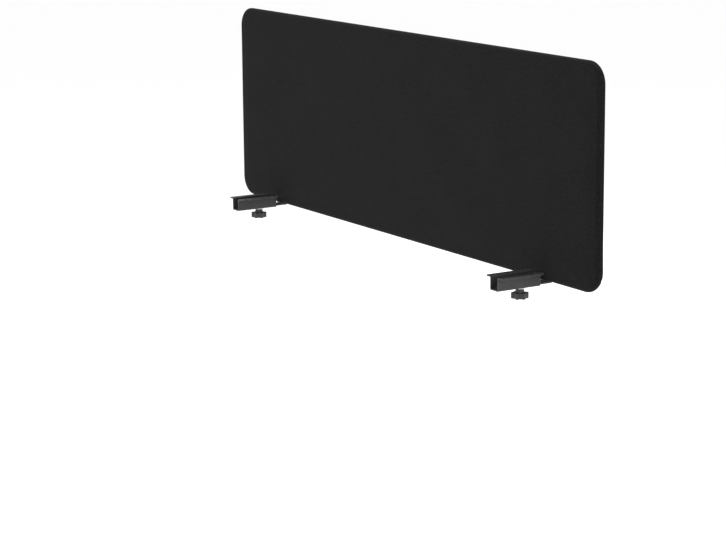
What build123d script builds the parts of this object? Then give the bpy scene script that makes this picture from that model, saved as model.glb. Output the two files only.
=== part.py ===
from build123d import *
import os

# A desk privacy panel: a fabric-covered acoustic screen that stands on two steel arms.
# The arms slide in channels that are screwed under the rear edge of a desktop.
# Millimetres. +X runs along the screen, +Y points away from the person at the desk, +Z is up.
# The origin is on the screen's front face, half way along, level with the desktop's underside.

# The screen
panel_width = 1600.0
panel_height = 510.0
panel_thick = 25.0
panel_drop = 24.0  # how far the screen hangs below the desktop's underside
corner_radius = 50.0
edge_radius = 12.0
cover_thick = 1.0
pad_thick = 4.0

# The wooden frame inside it
frame_inset = 9.0  # from the screen's outline to the frame's
rail_width = 40.0
corner_block_size = 70.0
post_width = 50.0
infill_gap = 0.5
dowel_radius = 4.0
dowel_length = 40.0
dowel_clearance = 0.05
corner_dowel_step = 10.0  # from the middle of a rail or stile to each dowel
mullion_dowel_step = 8.0
post_dowel_step = 20.0  # wide enough to pass either side of a socket

# The zip in the rear cover
zip_height = 30.0  # above the screen's lower edge
zip_half_length = 738.0
zip_gap_half = 5.0  # half of the bare strip between the two cover edges
tape_width = 12.0
tape_thick = 0.6
coil_width = 2.75
coil_proud = 0.6  # how far the coils stand out of the cover
zip_end_margin = 5.0  # the bare strip runs this far past each end of the coils
tape_end_margin = 10.0
coil_middle_gap = 0.05
stop_length = 3.2
stop_gap = 0.3
stop_half_width = 3.2
slider_length = 12.0
slider_width = 8.4
slider_plate = 1.2
slider_lip_length = 8.0
slider_lip_inner = 3.15  # from the middle of the zip to the inside of each lip
slider_gap = 0.3  # between the slider and the zip that it runs over
slider_x = 730.0
bridge_length = 7.0
bridge_width = 2.2
bridge_eye_length = 4.2
bridge_eye_height = 1.6
bridge_wall = 0.6
pull_length = 24.0
pull_width = 5.6
pull_thick = 1.1
pull_window_length = 4.0
pull_window_width = 3.2
pull_hole_length = 5.0
pull_hole_width = 2.2

# The brackets
bracket_x = 600.0  # from the middle of the screen to the middle of each bracket
bar_width = 25.0
bar_thick = 4.0
bar_gap = 0.1  # between the socket's flange, the bar and the channel
bar_corner = 4.0
bar_end_margin = 20.0  # from the end of the bolt's travel to the bar's front end
bar_rear_margin = 8.5  # from the blade's middle to the bar's rear end
bar_edge_break = 0.4
blade_height = 100.0
blade_clearance = 0.25
blade_tip_width = 15.0
blade_tip_height = 7.0
tenon_width = 15.0
tenon_clearance = 0.05
channel_length = 115.0
channel_setback = 15.0  # from the desktop's rear edge to the channel
channel_sheet = 2.5
channel_inside = 26.0
channel_flange = 20.0
channel_corner = 5.0
fold_radius = 0.4  # inside each fold of the sheet
slot_length = 9.0
slot_width = 5.0
slot_spacing_x = 49.0
slot_spacing_y = 80.0
depth_travel = 40.0
bolt_y = -60.0
bolt_radius = 4.0
bolt_hole_clearance = 0.3
bolt_head_radius = 9.5
bolt_head_height = 4.4
bolt_head_round = 3.2
bolt_below_washer = 16.0
thread_clearance = 0.05
washer_radius = 12.0
washer_thick = 2.0
washer_clearance = 0.25
stack_gap = 0.05  # between channel, washer and knob
insert_radius = 6.5
insert_depth = 18.0
knob_radius = 20.0
knob_lobes = 6
lobe_radius = 5.5
hub_radius = 10.0
hub_height = 8.0
hub_recess = 0.5  # the insert stands this far above the hub
grip_height = 15.0
grip_round = 2.0

# The sockets that the blades plug into
socket_wall = 1.75
socket_head_room = 4.0  # closed end above the blade
socket_side_gap = 0.1  # between a socket and the timber, felt and fabric round it
flange_width = 44.0
flange_depth = 12.0
flange_corner = 3.0
flange_sunk = 1.4  # how far the flange presses into the fabric
blade_tip_gap = 1.0
socket_screw_x = 18.0  # from the blade's middle to each screw
socket_screw_length = 25.0
socket_screw_radius = 1.75
screw_head_radius = 3.4
screw_head_height = 1.9
screw_hex_radius = 1.5
screw_hex_depth = 1.4

# Places that follow from them
bottom_z = -panel_drop
top_z = bottom_z + panel_height
middle_z = (bottom_z + top_z) / 2
half_width = panel_width / 2
seam_y = panel_thick / 2
frame_front_y = cover_thick + pad_thick
frame_back_y = panel_thick - frame_front_y
frame_half_width = half_width - frame_inset
frame_bottom_z = bottom_z + frame_inset
frame_top_z = top_z - frame_inset
rail_inner_low_z = frame_bottom_z + rail_width
rail_inner_high_z = frame_top_z - rail_width
stile_inner_x = frame_half_width - rail_width
block_inner_x = frame_half_width - corner_block_size
block_low_z = frame_bottom_z + corner_block_size
block_high_z = frame_top_z - corner_block_size
zip_z = bottom_z + zip_height
tape_back_y = panel_thick - cover_thick - 0.2
tape_front_y = tape_back_y - tape_thick
coil_back_y = panel_thick + coil_proud
bar_top_z = bottom_z - 1.0
bar_bottom_z = bar_top_z - bar_thick
web_top_z = bar_bottom_z - bar_gap
socket_width = bar_width + 2 * (blade_clearance + socket_wall)
socket_depth = bar_thick + 2 * (blade_clearance + socket_wall)
blade_tip_z = bar_top_z + blade_height
socket_top_z = blade_tip_z + blade_tip_gap + socket_head_room
flange_low_z = bar_top_z + bar_gap
flange_high_z = bottom_z + flange_sunk
screw_neck_z = flange_low_z + screw_head_height
web_bottom_z = web_top_z - channel_sheet
channel_back_y = -channel_setback
channel_front_y = channel_back_y - channel_length
channel_middle_y = (channel_front_y + channel_back_y) / 2
bar_front_y = bolt_y - depth_travel - bar_end_margin
bar_back_y = seam_y + bar_rear_margin
washer_top_z = web_bottom_z - stack_gap
knob_top_z = washer_top_z - washer_thick - stack_gap
hub_top_z = knob_top_z - hub_recess
bolt_end_z = knob_top_z - bolt_below_washer
head_low_z = bar_top_z + bar_gap
plate_front_y = coil_back_y + slider_gap
plate_back_y = plate_front_y + slider_plate
pull_pivot_y = plate_back_y + 0.1 + bridge_eye_height / 2
bridge_back_y = pull_pivot_y + bridge_eye_height / 2 + bridge_wall
sides = (("left", -1), ("right", 1))

os.makedirs("parts", exist_ok=True)


def upright(y):
    """The plane facing -Y at this depth: sketch x is X and sketch y is Z, and a negative extrude goes to +Y."""
    return Plane.XZ.offset(-y)


def block(x, y, z, mode=Mode.ADD):
    """A box between the low and high X, Y and Z given as pairs."""
    with Locations(((x[0] + x[1]) / 2, (y[0] + y[1]) / 2, (z[0] + z[1]) / 2)):
        Box(x[1] - x[0], y[1] - y[0], z[1] - z[0], mode=mode)


def save(piece, label):
    piece.part.label = label
    export_step(piece.part, f"parts/{label}.step")


def soft_slab(inset):
    """The screen's outer shape with its rounded edges, made smaller all round by inset."""
    with BuildPart() as slab:
        with BuildSketch(upright(inset)):
            with Locations((0, middle_z)):
                RectangleRounded(panel_width - 2 * inset, panel_height - 2 * inset, corner_radius - inset)
        extrude(amount=-(panel_thick - 2 * inset))
        fillet(slab.faces().filter_by(Axis.Y).edges(), edge_radius - inset)
    return slab.part


# ---- Blade sockets: nylon sleeves that the arms' blades plug up into ----

def socket_room(mode, x, gap):
    """The space that a socket takes up, with a gap round it, below the flange's top and up inside."""
    half = flange_width / 2 + gap
    depth = flange_depth / 2 + gap
    block((x - half, x + half), (seam_y - depth, seam_y + depth), (bottom_z - 5, flange_high_z + gap), mode)
    depth = socket_depth / 2 + gap
    block((x - half, x + half), (seam_y - depth, seam_y + depth), (bottom_z - 5, frame_bottom_z), mode)
    half = socket_width / 2 + gap
    block((x - half, x + half), (seam_y - depth, seam_y + depth), (bottom_z - 5, socket_top_z + gap), mode)


def screw_shanks(x, radius):
    """Both screws of one socket, without their heads."""
    with BuildPart() as shanks:
        with BuildSketch(Plane.XY.offset(screw_neck_z)):
            with Locations((x - socket_screw_x, seam_y), (x + socket_screw_x, seam_y)):
                Circle(radius)
        extrude(amount=socket_screw_length - screw_head_height)
    return shanks.part


for side, way in sides:
    x = way * bracket_x
    with BuildPart() as blade_socket:
        half = flange_width / 2
        depth = socket_depth / 2
        with BuildSketch(Plane.XY.offset(flange_low_z)):
            with Locations((x, seam_y)):
                RectangleRounded(flange_width, flange_depth, flange_corner)
        extrude(amount=flange_high_z - flange_low_z)
        block((x - half, x + half), (seam_y - depth, seam_y + depth), (flange_high_z, frame_bottom_z))
        half = socket_width / 2
        block((x - half, x + half), (seam_y - depth, seam_y + depth), (frame_bottom_z, socket_top_z))
        half = bar_width / 2 + blade_clearance
        depth = bar_thick / 2 + blade_clearance
        block(
            (x - half, x + half),
            (seam_y - depth, seam_y + depth),
            (flange_low_z - 1, blade_tip_z + blade_tip_gap),
            Mode.SUBTRACT,
        )
        add(screw_shanks(x, socket_screw_radius + socket_side_gap), mode=Mode.SUBTRACT)
        with Locations(Plane.XY.offset(flange_low_z)):
            with Locations((x - socket_screw_x, seam_y), (x + socket_screw_x, seam_y)):
                Cone(
                    screw_head_radius + socket_side_gap,
                    socket_screw_radius + socket_side_gap,
                    screw_head_height,
                    align=(Align.CENTER, Align.CENTER, Align.MIN),
                    mode=Mode.SUBTRACT,
                )
    save(blade_socket, f"{side}_blade_socket")

    with BuildPart() as socket_screws:
        add(screw_shanks(x, socket_screw_radius))
        with Locations(Plane.XY.offset(flange_low_z)):
            with Locations((x - socket_screw_x, seam_y), (x + socket_screw_x, seam_y)):
                Cone(
                    screw_head_radius,
                    socket_screw_radius,
                    screw_head_height,
                    align=(Align.CENTER, Align.CENTER, Align.MIN),
                )
        with BuildSketch(Plane.XY.offset(flange_low_z)):
            with Locations((x - socket_screw_x, seam_y), (x + socket_screw_x, seam_y)):
                RegularPolygon(screw_hex_radius, 6)
        extrude(amount=screw_hex_depth, mode=Mode.SUBTRACT)
    save(socket_screws, f"{side}_socket_screws")

# ---- Covers and pads ----

outer_shape = soft_slab(0.0)
under_cover = soft_slab(cover_thick)

with BuildPart() as front_cover:
    add(outer_shape)
    add(under_cover, mode=Mode.SUBTRACT)
    block(
        (-half_width - 5, half_width + 5),
        (seam_y, panel_thick + 5),
        (zip_z, top_z + 5),
        Mode.SUBTRACT,
    )
    block(
        (-zip_half_length - zip_end_margin, zip_half_length + zip_end_margin),
        (seam_y, panel_thick + 5),
        (zip_z - zip_gap_half, zip_z + zip_gap_half),
        Mode.SUBTRACT,
    )
    socket_room(Mode.SUBTRACT, -bracket_x, socket_side_gap)
    socket_room(Mode.SUBTRACT, bracket_x, socket_side_gap)
save(front_cover, "front_cover")

with BuildPart() as rear_cover:
    add(outer_shape)
    add(under_cover, mode=Mode.SUBTRACT)
    block(
        (-half_width - 5, half_width + 5),
        (seam_y, panel_thick + 5),
        (zip_z, top_z + 5),
        Mode.INTERSECT,
    )
    block(
        (-zip_half_length - zip_end_margin, zip_half_length + zip_end_margin),
        (seam_y, panel_thick + 5),
        (zip_z - zip_gap_half, zip_z + zip_gap_half),
        Mode.SUBTRACT,
    )
save(rear_cover, "rear_cover")

with BuildPart() as frame_room:
    with BuildSketch(upright(frame_front_y)):
        with Locations((0, middle_z)):
            RectangleRounded(
                2 * frame_half_width,
                frame_top_z - frame_bottom_z,
                corner_radius - frame_inset,
            )
    extrude(amount=-(frame_back_y - frame_front_y))

for name, near_y, far_y in (("front_pad", -5.0, seam_y), ("rear_pad", seam_y, panel_thick + 5)):
    with BuildPart() as pad:
        add(under_cover)
        block((-half_width, half_width), (near_y, far_y), (bottom_z, top_z), Mode.INTERSECT)
        add(frame_room.part, mode=Mode.SUBTRACT)
        socket_room(Mode.SUBTRACT, -bracket_x, socket_side_gap)
        socket_room(Mode.SUBTRACT, bracket_x, socket_side_gap)
        block(
            (-zip_half_length - tape_end_margin - 2, zip_half_length + tape_end_margin + 2),
            (tape_front_y - 0.2, panel_thick),
            (zip_z - tape_width - 1.5, zip_z + tape_width + 1.5),
            Mode.SUBTRACT,
        )
    save(pad, name)

# ---- The dowelled frame ----


def dowels(radius, length):
    """Every dowel of the frame, or every hole for one."""
    mid_y = (frame_front_y + frame_back_y) / 2
    half_rail = rail_width / 2
    along_x = []
    along_z = []
    for way_x in (-1, 1):
        for way_z, end_z, outer_z in ((-1, block_low_z, frame_bottom_z), (1, block_high_z, frame_top_z)):
            for step in (-corner_dowel_step, corner_dowel_step):
                along_x.append((way_x * block_inner_x, mid_y, outer_z - way_z * half_rail + step))
                along_z.append((way_x * (frame_half_width - half_rail) + step, mid_y, end_z))
    for rail_z in (rail_inner_low_z, rail_inner_high_z):
        for step in (-mullion_dowel_step, mullion_dowel_step):
            along_z.append((step, mid_y, rail_z))
        for way_x in (-1, 1):
            for step in (-post_dowel_step, post_dowel_step):
                along_z.append((way_x * bracket_x + step, mid_y, rail_z))
    with BuildPart() as pegs:
        with Locations(*along_x):
            Cylinder(radius, length, rotation=(0, 90, 0))
        with Locations(*along_z):
            Cylinder(radius, length)
    return pegs.part


dowel_holes = dowels(dowel_radius + dowel_clearance, dowel_length + 1)

with BuildPart() as frame_dowels:
    add(dowels(dowel_radius, dowel_length))
save(frame_dowels, "frame_dowels")

bars = {
    "top_rail": ((-block_inner_x, block_inner_x), (rail_inner_high_z, frame_top_z)),
    "bottom_rail": ((-block_inner_x, block_inner_x), (frame_bottom_z, rail_inner_low_z)),
    "left_stile": ((-frame_half_width, -stile_inner_x), (block_low_z, block_high_z)),
    "right_stile": ((stile_inner_x, frame_half_width), (block_low_z, block_high_z)),
    "centre_mullion": ((-rail_width / 2, rail_width / 2), (rail_inner_low_z, rail_inner_high_z)),
    "left_bracket_post": (
        (-bracket_x - post_width / 2, -bracket_x + post_width / 2),
        (rail_inner_low_z, rail_inner_high_z),
    ),
    "right_bracket_post": (
        (bracket_x - post_width / 2, bracket_x + post_width / 2),
        (rail_inner_low_z, rail_inner_high_z),
    ),
}
with BuildPart() as socket_slots:
    socket_room(Mode.ADD, -bracket_x, socket_side_gap)
    socket_room(Mode.ADD, bracket_x, socket_side_gap)

for name, (span_x, span_z) in bars.items():
    with BuildPart() as bar:
        block(span_x, (frame_front_y, frame_back_y), span_z)
        add(dowel_holes, mode=Mode.SUBTRACT)
        if name in ("bottom_rail", "left_bracket_post", "right_bracket_post"):
            add(socket_slots.part, mode=Mode.SUBTRACT)
        if name == "bottom_rail":
            for side, way in sides:
                add(screw_shanks(way * bracket_x, socket_screw_radius + dowel_clearance), mode=Mode.SUBTRACT)
    save(bar, name)

for height, low_z, high_z in (
    ("top", block_high_z, frame_top_z),
    ("bottom", frame_bottom_z, block_low_z),
):
    for side, way in sides:
        near_x, far_x = sorted((way * block_inner_x, way * frame_half_width))
        with BuildPart() as corner_block:
            add(frame_room.part)
            block((near_x, far_x), (0, panel_thick), (low_z, high_z), Mode.INTERSECT)
            add(dowel_holes, mode=Mode.SUBTRACT)
        save(corner_block, f"{height}_{side}_corner_block")

# ---- The acoustic infill boards between the frame's members ----

for side, way in sides:
    for name, near_x, far_x in (
        (f"inner_{side}_infill", rail_width / 2, bracket_x - post_width / 2),
        (f"outer_{side}_infill", bracket_x + post_width / 2, stile_inner_x),
    ):
        low_x, high_x = sorted((way * (near_x + infill_gap), way * (far_x - infill_gap)))
        with BuildPart() as infill:
            block(
                (low_x, high_x),
                (frame_front_y, frame_back_y),
                (rail_inner_low_z + infill_gap, rail_inner_high_z - infill_gap),
            )
            if far_x > block_inner_x:
                cut_x = sorted((way * (block_inner_x - infill_gap), way * (frame_half_width + 1)))
                block(cut_x, (0, panel_thick), (frame_bottom_z, block_low_z + infill_gap), Mode.SUBTRACT)
                block(cut_x, (0, panel_thick), (block_high_z - infill_gap, frame_top_z), Mode.SUBTRACT)
        save(infill, name)

# ---- The zip along the foot of the rear cover ----

for name, way in (("upper", 1), ("lower", -1)):
    with BuildPart() as zip_tape:
        edge_z = sorted((zip_z + way * 0.3, zip_z + way * tape_width))
        end_x = zip_half_length + tape_end_margin
        block((-end_x, end_x), (tape_front_y, tape_back_y), edge_z)
    save(zip_tape, f"{name}_zip_tape")

    with BuildPart() as zip_coil:
        edge_z = sorted((zip_z + way * coil_middle_gap, zip_z + way * coil_width))
        block((-zip_half_length, zip_half_length), (tape_back_y, coil_back_y), edge_z)
    save(zip_coil, f"{name}_zip_coil")

with BuildPart() as zip_stops:
    stop_y = (tape_back_y, coil_back_y + 0.2)
    near_x = zip_half_length + stop_gap
    block((-near_x - stop_length, -near_x), stop_y, (zip_z - stop_half_width, zip_z + stop_half_width))
    for way in (-1, 1):
        edge_z = sorted((zip_z + way * 0.2, zip_z + way * stop_half_width))
        block((near_x, near_x + stop_length), stop_y, edge_z)
save(zip_stops, "zip_stops")

with BuildPart() as zip_slider:
    with BuildSketch(upright(plate_front_y)):
        with Locations((slider_x, zip_z)):
            RectangleRounded(slider_length, slider_width, 2.0)
    extrude(amount=-slider_plate)
    for way in (-1, 1):
        edge_z = sorted((zip_z + way * slider_lip_inner, zip_z + way * slider_width / 2))
        span_x = (slider_x - slider_lip_length / 2, slider_x + slider_lip_length / 2)
        block(span_x, (tape_back_y + slider_gap, plate_front_y), edge_z)
    with BuildSketch(Plane.XY.offset(zip_z - bridge_width / 2)):
        with Locations((slider_x, (plate_back_y + bridge_back_y) / 2)):
            Rectangle(bridge_length, bridge_back_y - plate_back_y)
        with Locations((slider_x, pull_pivot_y)):
            Rectangle(bridge_eye_length, bridge_eye_height, mode=Mode.SUBTRACT)
    extrude(amount=bridge_width)
save(zip_slider, "zip_slider")

# The pull hangs in the slider's bridge by a round bar, and its window clears the bridge.
with BuildPart() as zip_pull:
    with BuildSketch(upright(pull_pivot_y - pull_thick / 2)):
        with Locations((slider_x - pull_length / 2, zip_z)):
            Rectangle(pull_length, pull_width)
        with Locations((slider_x - pull_window_length / 2, zip_z)):
            Rectangle(pull_window_length, pull_window_width, mode=Mode.SUBTRACT)
        with Locations((slider_x - pull_length + pull_hole_length, zip_z)):
            SlotOverall(pull_hole_length, pull_hole_width, mode=Mode.SUBTRACT)
    extrude(amount=-pull_thick)
    tip_edges = zip_pull.edges().filter_by(Axis.Y).group_by(Axis.X)[0]
    fillet(tip_edges, 2.0)
    with BuildSketch(Plane.XY.offset(zip_z - pull_width / 2)):
        with Locations((slider_x, pull_pivot_y)):
            Circle(pull_thick / 2)
    extrude(amount=pull_width)
save(zip_pull, "zip_pull")

# ---- The two brackets ----

for side, way in sides:
    x = way * bracket_x

    # A flat bar slides in the channel, and an upright blade is set into its rear end.
    with BuildPart() as slide_bar:
        with BuildSketch(Plane.XY.offset(bar_bottom_z)):
            with Locations((x, (bar_front_y + bar_back_y) / 2)):
                RectangleRounded(bar_width, bar_back_y - bar_front_y, bar_corner)
            with Locations((x, bolt_y - depth_travel / 2)):
                SlotCenterToCenter(
                    depth_travel + 2 * bolt_radius,
                    2 * bolt_radius + 1.0,
                    rotation=90,
                    mode=Mode.SUBTRACT,
                )
            with Locations((x, seam_y)):
                Rectangle(
                    tenon_width + 2 * tenon_clearance,
                    bar_thick + 2 * tenon_clearance,
                    mode=Mode.SUBTRACT,
                )
        extrude(amount=bar_thick)
        chamfer(slide_bar.faces().sort_by(Axis.Z)[-1].outer_wire().edges(), bar_edge_break)
        chamfer(slide_bar.faces().sort_by(Axis.Z)[0].outer_wire().edges(), bar_edge_break)
    save(slide_bar, f"{side}_slide_bar")

    with BuildPart() as upright_blade:
        with BuildSketch(upright(seam_y - bar_thick / 2)):
            with BuildLine():
                Polyline(
                    (x - bar_width / 2, bar_top_z),
                    (x - tenon_width / 2, bar_top_z),
                    (x - tenon_width / 2, bar_bottom_z),
                    (x + tenon_width / 2, bar_bottom_z),
                    (x + tenon_width / 2, bar_top_z),
                    (x + bar_width / 2, bar_top_z),
                    (x + bar_width / 2, blade_tip_z - blade_tip_height),
                    (x + blade_tip_width / 2, blade_tip_z),
                    (x - blade_tip_width / 2, blade_tip_z),
                    (x - bar_width / 2, blade_tip_z - blade_tip_height),
                    close=True,
                )
            make_face()
        extrude(amount=-bar_thick)
    save(upright_blade, f"{side}_upright_blade")

    # The channel is one folded sheet: two flanges under the desktop, two sides and a web.
    with BuildPart() as channel:
        with BuildSketch(upright(channel_front_y)):
            half_sheet = channel_sheet / 2
            with BuildLine():
                FilletPolyline(
                    (x - channel_inside / 2 - channel_flange, -half_sheet),
                    (x - channel_inside / 2 - half_sheet, -half_sheet),
                    (x - channel_inside / 2 - half_sheet, web_top_z - half_sheet),
                    (x + channel_inside / 2 + half_sheet, web_top_z - half_sheet),
                    (x + channel_inside / 2 + half_sheet, -half_sheet),
                    (x + channel_inside / 2 + channel_flange, -half_sheet),
                    radius=half_sheet + fold_radius,
                )
            trace(line_width=channel_sheet)
        extrude(amount=-channel_length)
        with BuildSketch(Plane.XY):
            with Locations((x, channel_middle_y)):
                with GridLocations(slot_spacing_x, slot_spacing_y, 2, 2):
                    SlotOverall(slot_length, slot_width)
        extrude(amount=-channel_sheet, mode=Mode.SUBTRACT)
        with BuildSketch(Plane.XY.offset(web_bottom_z)):
            with Locations((x, bolt_y)):
                Circle(bolt_radius + bolt_hole_clearance)
        extrude(amount=channel_sheet, mode=Mode.SUBTRACT)
        upright_edges = channel.edges().filter_by(Axis.Z)
        fillet(upright_edges.group_by(Axis.X)[0] + upright_edges.group_by(Axis.X)[-1], channel_corner)
    save(channel, f"{side}_channel")

    # The carriage bolt's square neck sits in the bar's slot and its head bears on the bar.
    with BuildPart() as carriage_bolt:
        with BuildSketch(Plane.XY.offset(bolt_end_z)):
            with Locations((x, bolt_y)):
                Circle(bolt_radius)
        extrude(amount=head_low_z - bolt_end_z)
        with BuildSketch(Plane.XY.offset(web_top_z + stack_gap)):
            with Locations((x, bolt_y)):
                Rectangle(2 * bolt_radius, 2 * bolt_radius)
        extrude(amount=head_low_z - web_top_z - stack_gap)
        with BuildSketch(Plane.XY.offset(head_low_z)):
            with Locations((x, bolt_y)):
                Circle(bolt_head_radius)
        extrude(amount=bolt_head_height)
        fillet(carriage_bolt.faces().sort_by(Axis.Z)[-1].edges(), bolt_head_round)
    save(carriage_bolt, f"{side}_carriage_bolt")

    with BuildPart() as washer:
        with BuildSketch(Plane.XY.offset(washer_top_z - washer_thick)):
            with Locations((x, bolt_y)):
                Circle(washer_radius)
                Circle(bolt_radius + washer_clearance, mode=Mode.SUBTRACT)
        extrude(amount=washer_thick)
    save(washer, f"{side}_washer")

    with BuildPart() as knob_insert:
        with BuildSketch(Plane.XY.offset(knob_top_z - insert_depth)):
            with Locations((x, bolt_y)):
                RegularPolygon(insert_radius, 6)
        extrude(amount=insert_depth)
        with BuildSketch(Plane.XY.offset(knob_top_z)):
            with Locations((x, bolt_y)):
                Circle(bolt_radius + thread_clearance)
        extrude(amount=-insert_depth, mode=Mode.SUBTRACT)
    save(knob_insert, f"{side}_knob_insert")

    with BuildPart() as knob_grip:
        with BuildSketch(Plane.XY.offset(hub_top_z)):
            with Locations((x, bolt_y)):
                Circle(hub_radius)
        extrude(amount=-hub_height, taper=-8)
        with BuildSketch(Plane.XY.offset(hub_top_z - hub_height)):
            with Locations((x, bolt_y)):
                Circle(knob_radius - lobe_radius + 0.5)
                with PolarLocations(knob_radius - lobe_radius, knob_lobes):
                    Circle(lobe_radius)
        extrude(amount=-grip_height)
        fillet(knob_grip.faces().sort_by(Axis.Z)[0].edges(), grip_round)
        with BuildSketch(Plane.XY.offset(knob_top_z)):
            with Locations((x, bolt_y)):
                RegularPolygon(insert_radius, 6)
        extrude(amount=-insert_depth, mode=Mode.SUBTRACT)
    save(knob_grip, f"{side}_knob_grip")
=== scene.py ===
import math

import bmesh
import bpy
from mathutils import Matrix, Vector, noise


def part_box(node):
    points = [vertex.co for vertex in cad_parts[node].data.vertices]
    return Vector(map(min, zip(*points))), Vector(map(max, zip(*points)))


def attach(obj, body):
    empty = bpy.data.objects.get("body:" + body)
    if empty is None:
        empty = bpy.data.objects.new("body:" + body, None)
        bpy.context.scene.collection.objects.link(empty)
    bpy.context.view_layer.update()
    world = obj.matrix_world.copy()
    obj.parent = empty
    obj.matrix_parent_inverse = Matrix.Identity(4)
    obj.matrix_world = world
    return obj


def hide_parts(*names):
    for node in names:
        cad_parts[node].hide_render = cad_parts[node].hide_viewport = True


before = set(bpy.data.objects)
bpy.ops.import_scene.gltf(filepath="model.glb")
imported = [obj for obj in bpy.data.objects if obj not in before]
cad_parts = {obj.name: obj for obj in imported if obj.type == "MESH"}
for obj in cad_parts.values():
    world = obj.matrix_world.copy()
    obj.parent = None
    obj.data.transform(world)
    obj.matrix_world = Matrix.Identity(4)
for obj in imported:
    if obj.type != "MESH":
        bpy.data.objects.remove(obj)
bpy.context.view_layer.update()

mm = 0.001
print("frame loaded")

# camera, floor and light

cameraLook = {
    "place": (4.6563, -2.9557, 1.051),
    "yaw": 58.505,
    "pitch": 11.885,
    "roll": -0.438,
    "lens": 112.975,
}

studioLook = {
    "floorHeight": -0.715,  # a desktop's underside is about this far above the floor
    "floorSize": 30,
    "floorColour": (0.93, 0.93, 0.93, 1),
    "skyStrength": 1.06,
}


def placeCamera():
    data = bpy.data.cameras.new("studioCamera")
    data.sensor_width = 36
    data.lens = cameraLook["lens"]
    data.clip_end = 100
    camera = bpy.data.objects.new("studioCamera", data)
    bpy.context.scene.collection.objects.link(camera)
    turn = Matrix.Rotation(math.radians(cameraLook["yaw"]), 4, "Z")
    tilt = Matrix.Rotation(math.radians(90 - cameraLook["pitch"]), 4, "X")
    roll = Matrix.Rotation(math.radians(cameraLook["roll"]), 4, "Z")
    camera.matrix_world = Matrix.Translation(cameraLook["place"]) @ turn @ tilt @ roll
    bpy.context.scene.camera = camera


def addAreaLight(name, place, aim, size, power):
    data = bpy.data.lights.new(name, "AREA")
    data.shape = "RECTANGLE"
    data.size, data.size_y = size
    data.energy = power
    light = bpy.data.objects.new(name, data)
    bpy.context.scene.collection.objects.link(light)
    way = Vector(aim) - Vector(place)
    turn = way.to_track_quat("-Z", "Y").to_matrix().to_4x4()
    light.matrix_world = Matrix.Translation(place) @ turn


def buildStudio():
    bm = bmesh.new()
    bmesh.ops.create_grid(bm, x_segments=2, y_segments=2, size=studioLook["floorSize"])
    bmesh.ops.translate(bm, verts=bm.verts, vec=(0, 0, studioLook["floorHeight"]))
    mesh = bpy.data.meshes.new("studioFloor")
    bm.to_mesh(mesh)
    bm.free()
    floor = bpy.data.objects.new("studioFloor", mesh)
    bpy.context.scene.collection.objects.link(floor)
    paper = bpy.data.materials.new("floorPaper")
    paper.use_nodes = True
    shader = paper.node_tree.nodes["Principled BSDF"]
    shader.inputs["Base Color"].default_value = studioLook["floorColour"]
    shader.inputs["Roughness"].default_value = 0.9
    shader.inputs["Specular IOR Level"].default_value = 0.1
    mesh.materials.append(paper)
    world = bpy.data.worlds.new("studioSky")
    world.use_nodes = True
    sky = world.node_tree.nodes["Background"]
    sky.inputs["Color"].default_value = (1, 1, 1, 1)
    sky.inputs["Strength"].default_value = studioLook["skyStrength"]
    bpy.context.scene.world = world
    bpy.context.scene.view_settings.view_transform = "Standard"
    addAreaLight("frontSoftbox", (1.5, -3.2, 2.6), (0, 0, 0.2), (3.0, 2.0), 30)
    addAreaLight("topSoftbox", (-0.5, 1.0, 3.2), (0, 0, 0.2), (3.0, 2.0), 35)
    addAreaLight("backSoftbox", (-1.5, 3.4, 2.2), (0, 0, 0.2), (3.0, 2.0), 60)
    addAreaLight("endSoftbox", (3.4, 0.8, 1.2), (0.8, 0, 0.2), (1.2, 1.6), 18)


placeCamera()
buildStudio()
print("camera and studio placed")

# small helpers for materials


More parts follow.
